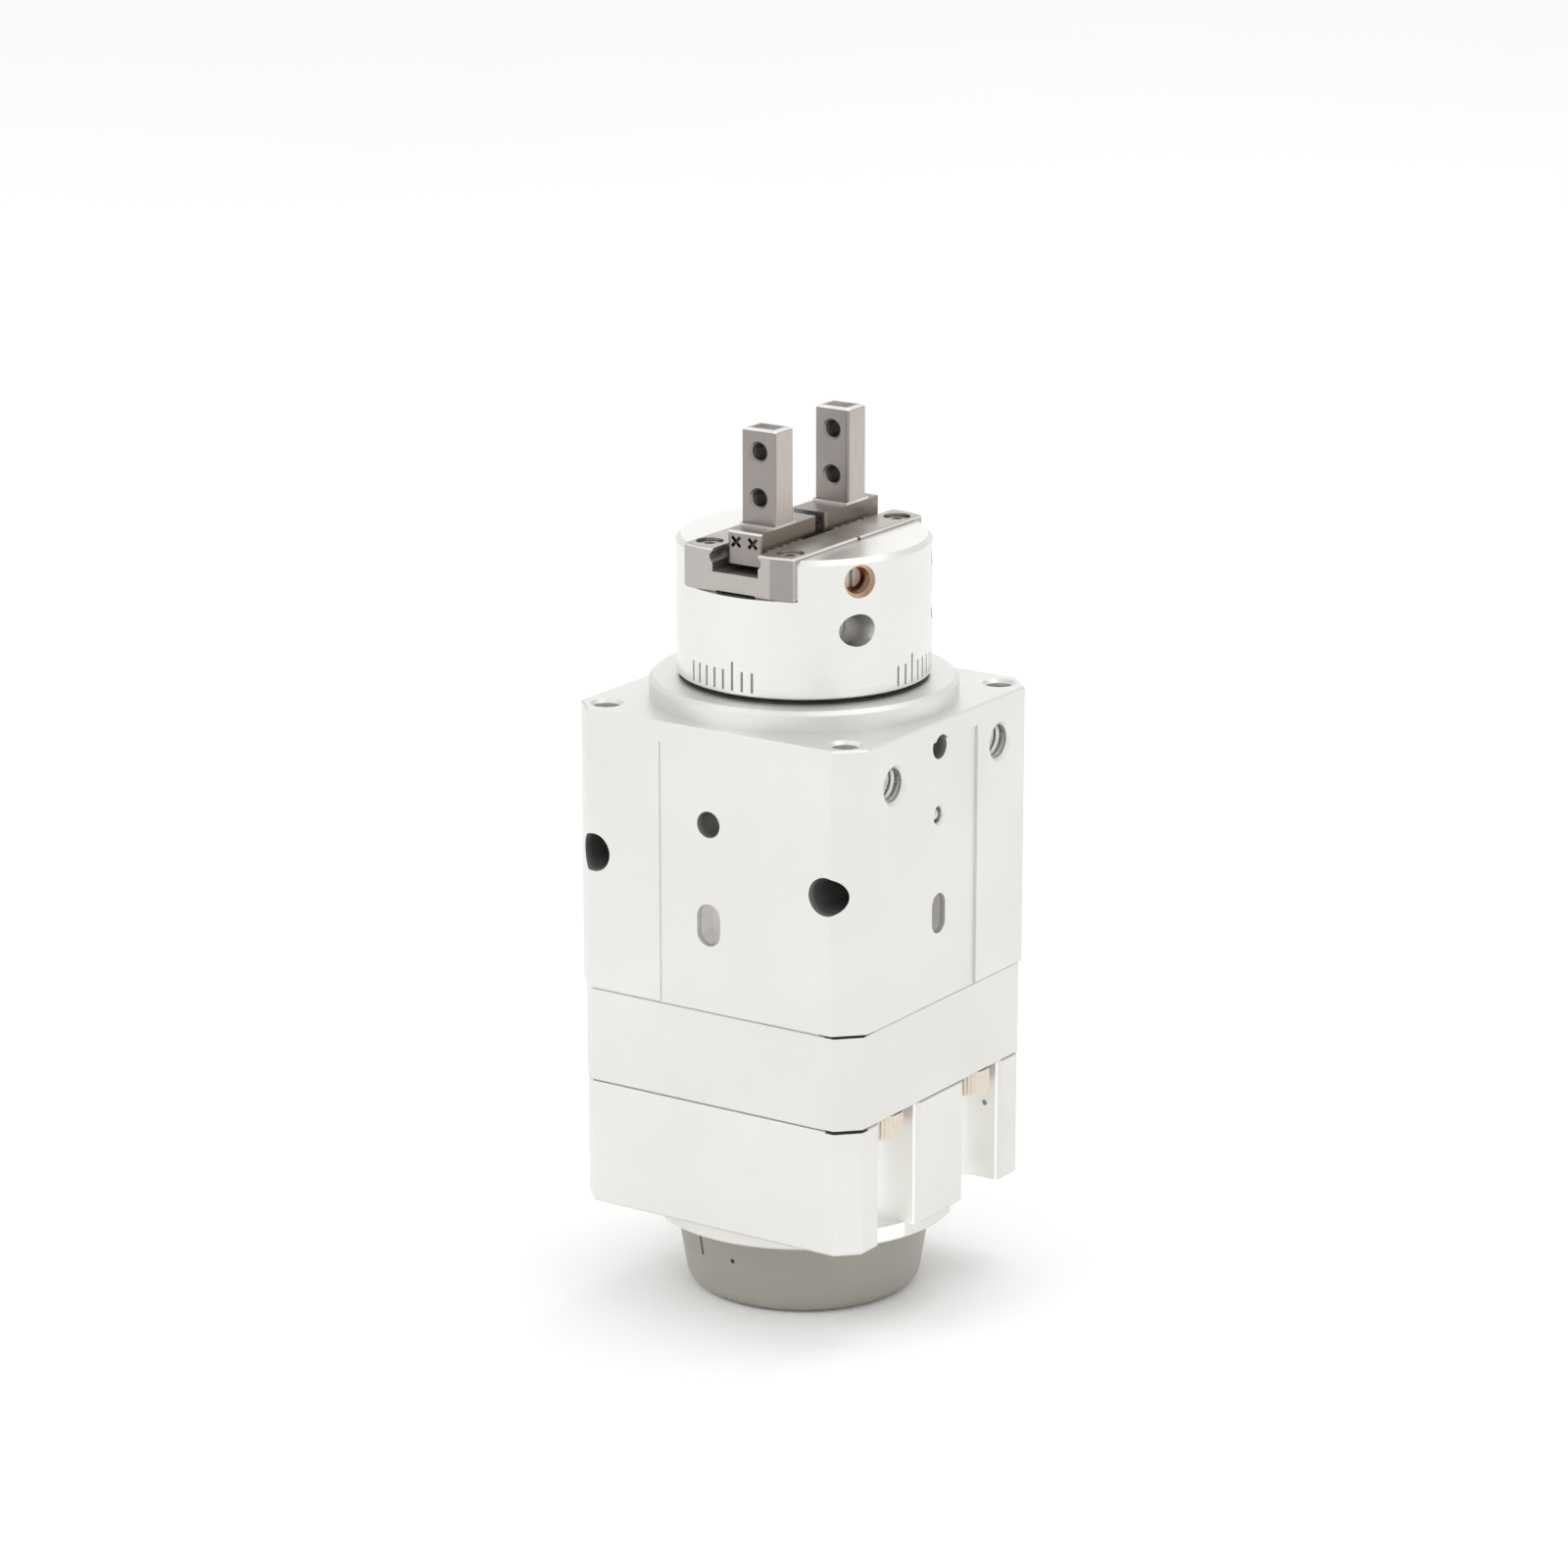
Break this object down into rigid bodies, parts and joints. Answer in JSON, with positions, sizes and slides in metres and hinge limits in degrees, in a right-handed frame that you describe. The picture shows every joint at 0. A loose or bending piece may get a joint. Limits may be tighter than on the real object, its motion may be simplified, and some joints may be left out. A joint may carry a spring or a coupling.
{
  "type": "rotary gripper",
  "caption": "Pneumatic rotary gripper: square aluminium vane-drive blocks on a resin end cap, with a turning round head that carries a parallel two-finger gripper.",
  "frame": {"origin": "where the turning axis meets the bottom face of the end cap", "axes": "+Z along the turning axis towards the fingers, +X out of the face with the gripping ports, -Y out of the side-mounting face; the fingers slide along Y"},
  "size_m": [0.042, 0.042, 0.111],
  "materials": {
    "body_anodised": "satin clear anodised, pale silver",
    "housing_anodised": "satin clear anodised, slightly warmer",
    "end_block_anodised": "satin clear anodised",
    "head_aluminium": "fine-turned and clear anodised",
    "cap_resin": "fine matt moulded resin, olive grey",
    "yellow_zinc": "yellow-chromated zinc plating",
    "dark_screw_steel": "black oxide",
    "bearing_steel": "ground bearing steel",
    "bronze": "sintered bronze",
    "brass": "machined brass",
    "seal_rubber": "black nitrile rubber",
    "stopper_resin": "dark engineering resin",
    "shaft_steel": "ground steel",
    "magnet": "bonded magnet",
    "plug_steel": "dark phosphated steel",
    "guide_stainless": "satin ground stainless steel",
    "screw_stainless": "stainless steel",
    "finger_stainless": "satin heat-treated stainless steel",
    "lever_steel": "hardened steel",
    "piston_aluminium": "machined aluminium"
  },
  "bodies": {
    "housing": {"main_body": "body_anodised", "vane_housing": "housing_anodised", "end_block": "end_block_anodised", "end_cap": "cap_resin", "joint_bolts": "yellow_zinc", "end_block_bolts": "dark_screw_steel", "bearing_outer_ring": "bearing_steel", "lower_bearing": "bronze", "shaft_seals": "seal_rubber", "stem_seals": "seal_rubber", "dust_seal": "seal_rubber", "housing_gasket": "seal_rubber", "passage_plug": "bearing_steel", "rotation_stopper": "stopper_resin", "stopper_pins": "bearing_steel"},
    "turning_head": {"gripper_head": "head_aluminium", "vane_shaft": "shaft_steel", "vane": "shaft_steel", "vane_seal": "seal_rubber", "magnet_lever": "stopper_resin", "switch_magnet": "magnet", "shaft_circlip": "shaft_steel", "bearing_inner_ring": "bearing_steel", "bearing_balls": "bearing_steel", "coupling_pin": "bearing_steel", "lever_pins": "bearing_steel", "pin_plugs": "plug_steel", "orifice_screws": "brass", "orifice_needles": "screw_stainless", "rod_cover": "brass", "rod_seal": "seal_rubber", "finger_guide": "guide_stainless", "guide_screws": "screw_stainless"},
    "piston_body": {"piston": "piston_aluminium", "piston_rod": "shaft_steel", "piston_seal": "seal_rubber", "piston_magnet": "magnet"},
    "lever_1": {"lever_1": "lever_steel"},
    "lever_2": {"lever_2": "lever_steel"},
    "finger_1": {"finger_1": "finger_stainless"},
    "finger_2": {"finger_2": "finger_stainless"},
    "ball_row_1": {"finger_1_balls": "bearing_steel"},
    "ball_row_2": {"finger_2_balls": "bearing_steel"}
  },
  "joints": [
    {"name": "head_rotation", "type": "hinge", "parent": "housing", "child": "turning_head", "pos_m": [0, 0, 0.0762], "axis": [0, 0, 1], "range_deg": [0, 180]},
    {"name": "finger_1_slide", "type": "slide", "parent": "turning_head", "child": "finger_1", "axis": [0, -1, 0], "range_m": [0, 0.002]},
    {"name": "finger_2_slide", "type": "slide", "parent": "turning_head", "child": "finger_2", "axis": [0, 1, 0], "range_m": [0, 0.002]},
    {"name": "lever_1_turn", "type": "hinge", "parent": "turning_head", "child": "lever_1", "pos_m": [0, -0.0083, 0.0877], "axis": [1, 0, 0], "range_deg": [0, 13.52]},
    {"name": "lever_2_turn", "type": "hinge", "parent": "turning_head", "child": "lever_2", "pos_m": [0, 0.0083, 0.0877], "axis": [-1, 0, 0], "range_deg": [0, 13.52]},
    {"name": "piston_slide", "type": "slide", "parent": "turning_head", "child": "piston_body", "axis": [0, 0, 1], "range_m": [0, 0.00156]},
    {"name": "ball_row_1_roll", "type": "slide", "parent": "turning_head", "child": "ball_row_1", "axis": [0, -1, 0], "range_m": [0, 0.001]},
    {"name": "ball_row_2_roll", "type": "slide", "parent": "turning_head", "child": "ball_row_2", "axis": [0, 1, 0], "range_m": [0, 0.001]}
  ],
  "couplings": [
    {"joint": "finger_2_slide", "follows": "finger_1_slide", "ratio": 1},
    {"joint": "lever_1_turn", "follows": "finger_1_slide", "rad_per_m": 117.92},
    {"joint": "lever_2_turn", "follows": "finger_1_slide", "rad_per_m": 117.92},
    {"joint": "piston_slide", "follows": "finger_1_slide", "ratio": 0.77647},
    {"joint": "ball_row_1_roll", "follows": "finger_1_slide", "ratio": 0.5},
    {"joint": "ball_row_2_roll", "follows": "finger_1_slide", "ratio": 0.5}
  ]
}
